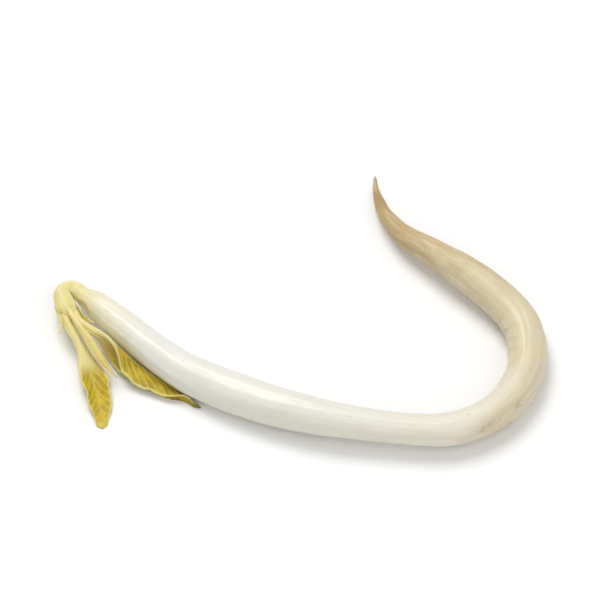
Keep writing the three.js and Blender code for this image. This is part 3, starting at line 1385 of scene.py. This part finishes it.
@dataclass(frozen=True)
class YoungLeaf:
    """The next leaf, still a thin spear of folded leaflets between the two first leaves."""

    neck: Neck
    length: float = 9.0
    above: float = 0.55
    sunk: float = 1.3
    bends: Pairs = ((1.0, 6.0), (8.0, 13.0))
    heights: Pairs = ((0.35, 2.8), (1, 1.3))
    girth: Profile = Profile(((0, 0.28), (0.35, 0.34), (0.62, 0.5), (1, 0.05)))
    leaflets: int = 3
    seam_depth: float = 0.35
    lumps: Lumps = Lumps(Grain(41), 1.5, 5.0)
    lump_height: float = 0.06

    def build(self) -> Piece:
        """Sweeps the spear with the seams between its leaflets.

        Returns:
            The young leaf.
        """
        line = self.neck.from_node(0.0, self.above, self.bends, self.heights, self.sunk)
        distance = stations(0.0, line.length, 220)
        turn = around(48)
        along = distance[:, None]
        share = (along - self.sunk) / self.length
        plain = self.girth(share) * tapered(0.97, 1.005, share, 0.03)
        folded = smoothstep(0.4, 0.6, share)
        seams = np.abs(np.cos(self.leaflets / 2 * (turn + 0.9 * share))) ** 0.5
        x, y = polar(plain, turn)
        lumps = self.lump_height * self.lumps(along, x, y)
        radius = plain * (1 - self.seam_depth * (1 - seams) * folded + lumps)
        offsets = (radius * np.cos(turn), radius * np.sin(turn) * (1 - 0.2 * folded))
        rib = (1 - seams) * folded
        layers = {"along": 0.1 + 0.9 * share, "turn_x": x, "turn_y": y, "rib": rib}
        skin = Skin.sweep(line, distance, offsets, layers)
        return skin.piece("young_leaf", "neck_flesh", Shoot("young_leaf_skin").material())


@dataclass(frozen=True)
class Stipule:
    """A small pointed scale by a leaf's stalk; side is 1 on the neck's right, -1 on its left."""

    neck: Neck
    node: str
    side: int
    across: float = 1.12
    length: float = 2.6
    half_width: float = 0.42
    thickness: float = 0.14
    sunk: float = 0.9
    outline: Profile = Profile(((-0.35, 0.3), (0, 0.8), (0.3, 1.0), (1, 0.12)))

    def build(self) -> Piece:
        """Sweeps the scale, cupped towards the stalk.

        Returns:
            The stipule.
        """
        bends = ((0.4, 0.0), (self.length - 0.4, -38.0 * self.side))
        line = self.neck.from_node(self.side * self.across, 0.0, bends, ((1, 2.6),), self.sunk)
        distance = stations(0.0, line.length, 90)
        turn = around(40)
        share = (distance[:, None] - self.sunk) / self.length
        ending = tapered(0.95, 1.01, share, 0.03)
        half_width = self.outline(share) * self.half_width * ending
        tuck = -0.22 * smoothstep(0.0, -0.35, share)
        wide = -self.side * half_width * np.cos(turn)
        thin = self.thickness / 2 * np.sin(turn) * ending
        cup = -0.35 * wide**2 / self.half_width
        rib = np.clip(np.cos(wide * 16), 0, 1) ** 4
        offsets = (self.side * (thin + cup + tuck + 0.015 * rib), wide)
        layers = {"along": 0.1 + 0.9 * share, "turn_x": wide, "turn_y": thin, "rib": rib}
        skin = Skin.sweep(line, distance, offsets, layers)
        return skin.piece(self.node, "neck_flesh", Shoot(self.node + "_skin").material())


@dataclass(frozen=True)
class Sprout:
    """The whole sprout, organ by organ."""

    axis: Axis
    line: GrowthLine

    def pieces(self) -> list[Piece]:
        """Builds the organs in order, from the stem outwards.

        Returns:
            All the pieces.
        """
        body = StemAndRoot(self.axis, self.line)
        neck = Neck(self.axis, self.line)
        long_leaf = FirstLeaf(
            neck,
            node="long_leaf",
            fold=Fold.SHUT,
            roll=-84.0,
            evenness=0.8,
            across=-0.48,
            bends=((0.5, 0.0), (1.5, 31.0), (6.0, 0.0), (8.4, -2.5)),
            heights=((0.25, 1.9), (0.55, 0.65), (1, 0.2)),
            stalk=4.2,
            half_width=2.45,
            tip_half_width=0.2,
            finish=Blade(
                "long_leaf_skin",
                deep=(0.400, 0.275, 0.010),
                bright=(0.575, 0.430, 0.022),
                vein_hue=(0.665, 0.545, 0.110),
                edge_hue=(0.800, 0.710, 0.270),
                tip_hue=(0.170, 0.125, 0.030),
                bruise=(0.330, 0.215, 0.010),
            ),
            seed=53,
        )
        short_leaf = FirstLeaf(
            neck,
            node="short_leaf",
            fold=Fold.HALF_OPEN,
            roll=6.0,
            across=0.48,
            bends=((0.5, 0.0), (1.5, 6.0), (4.0, -8.0), (7.2, -16.0)),
            heights=((0.3, 1.6), (0.6, 0.16), (1, 0.1)),
            stalk=5.6,
            half_width=1.75,
            tip_half_width=0.5,
            finish=Blade(
                "short_leaf_skin",
                deep=(0.460, 0.318, 0.010),
                bright=(0.665, 0.508, 0.022),
                vein_hue=(0.710, 0.590, 0.110),
                edge_hue=(0.820, 0.730, 0.280),
                tip_hue=(0.700, 0.570, 0.120),
                bruise=(0.380, 0.255, 0.010),
            ),
            seed=67,
        )
        leaves = (long_leaf, short_leaf, YoungLeaf(neck))
        stipules = (Stipule(neck, "long_leaf_stipule", -1), Stipule(neck, "short_leaf_stipule", 1))
        organs = (neck, *leaves, *stipules)
        return [body.stem(), body.root(), *(organ.build() for organ in organs)]


# ---- The studio ----


def aim(
    thing: bpy.types.Object, target: Vector, azimuth: float, elevation: float, far: float
) -> None:
    """Turns a lamp or a camera to a target.

    Args:
        thing: the lamp or camera.
        target: what it faces.
        azimuth: its place round the target, in degrees from the front.
        elevation: its place above the target, in degrees.
        far: its distance, in metres.
    """
    turn, rise = math.radians(azimuth), math.radians(elevation)
    level = math.cos(rise)
    away = Vector((math.sin(turn) * level, -math.cos(turn) * level, math.sin(rise)))
    thing.location = target + away * far
    thing.rotation_euler = away.to_track_quat("Z", "Y").to_euler()


@dataclass(frozen=True)
class Softbox:
    """A square area lamp that faces the sprout from a direction."""

    name: str
    azimuth: float
    elevation: float
    size: float
    power: float
    distance: float = 0.6

    def place(self, target: Vector) -> None:
        """Hangs the lamp.

        Args:
            target: what it faces.
        """
        lamp = bpy.data.lights.new(self.name, "AREA")
        lamp.energy = self.power
        lamp.size = self.size
        aim(add(self.name, lamp), target, self.azimuth, self.elevation, self.distance)


@dataclass(frozen=True)
class Studio:
    """A pale table, soft light from above and a long lens that looks down at the sprout.

    low and high are the corners of the solids' box, in metres.
    """

    low: Vector
    high: Vector
    elevation: float = 50.0
    lens: float = 400.0
    margin: float = 1.22
    table_size: float = 3.0
    sky: float = 0.42
    lamps: tuple[Softbox, ...] = (
        Softbox("key_light", azimuth=-150, elevation=62, size=0.34, power=1.95),
        Softbox("fill_light", azimuth=30, elevation=42, size=0.7, power=1.3),
    )

    @property
    def target(self) -> Vector:
        """The middle of the box."""
        return (self.low + self.high) / 2

    def table(self) -> None:
        """Lays the table."""
        half = self.table_size / 2
        mesh = bpy.data.meshes.new("table")
        edge = [(-half, -half, 0), (half, -half, 0), (half, half, 0), (-half, half, 0)]
        mesh.from_pydata(edge, [], [(0, 1, 2, 3)])
        mesh.materials.append(Tabletop().material())
        add("table", mesh)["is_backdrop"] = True

    def light(self) -> None:
        """Hangs the lamps and sets the sky, which looks white but gives less light."""
        for lamp in self.lamps:
            lamp.place(self.target)
        world = bpy.data.worlds.new("sky")
        bpy.context.scene.world = world
        paint = Paint(world)
        strength = self.sky + paint.looked_at() * (1 - self.sky)
        values = {"Color": (1.0, 1.0, 1.0, 1.0), "Strength": strength}
        glow = paint.node("ShaderNodeBackground", {}, values)
        paint.node("ShaderNodeOutputWorld", {}, {"Surface": glow.outputs[0]})

    def camera(self) -> None:
        """Sets up the camera so that the sprout fills the width of the view, less a margin."""
        lens = bpy.data.cameras.new("camera")
        lens.lens = self.lens
        lens.clip_start = 0.01
        lens.clip_end = 10.0
        width = (self.high.x - self.low.x) * self.margin
        thing = add("camera", lens)
        aim(thing, self.target, 0.0, self.elevation, width * self.lens / lens.sensor_width)
        bpy.context.scene.camera = thing

    def build(self) -> None:
        """Table, lamps and camera."""
        self.table()
        self.light()
        self.camera()
        log.info("studio ready")


def main() -> None:
    """Builds the sprout on its frame, and the studio round it."""
    logging.basicConfig(level=logging.INFO, format="%(name)s: %(message)s")
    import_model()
    solid_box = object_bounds()
    axis = Axis()
    line = axis.placed_line(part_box("stem"), StemAndRoot.collar)
    for piece in Sprout(axis, line).pieces():
        piece.join_frame()
    Studio(Vector(solid_box[0]), Vector(solid_box[1])).build()
    bpy.context.scene.view_settings.view_transform = "Standard"


if __name__ == "__main__":
    main()
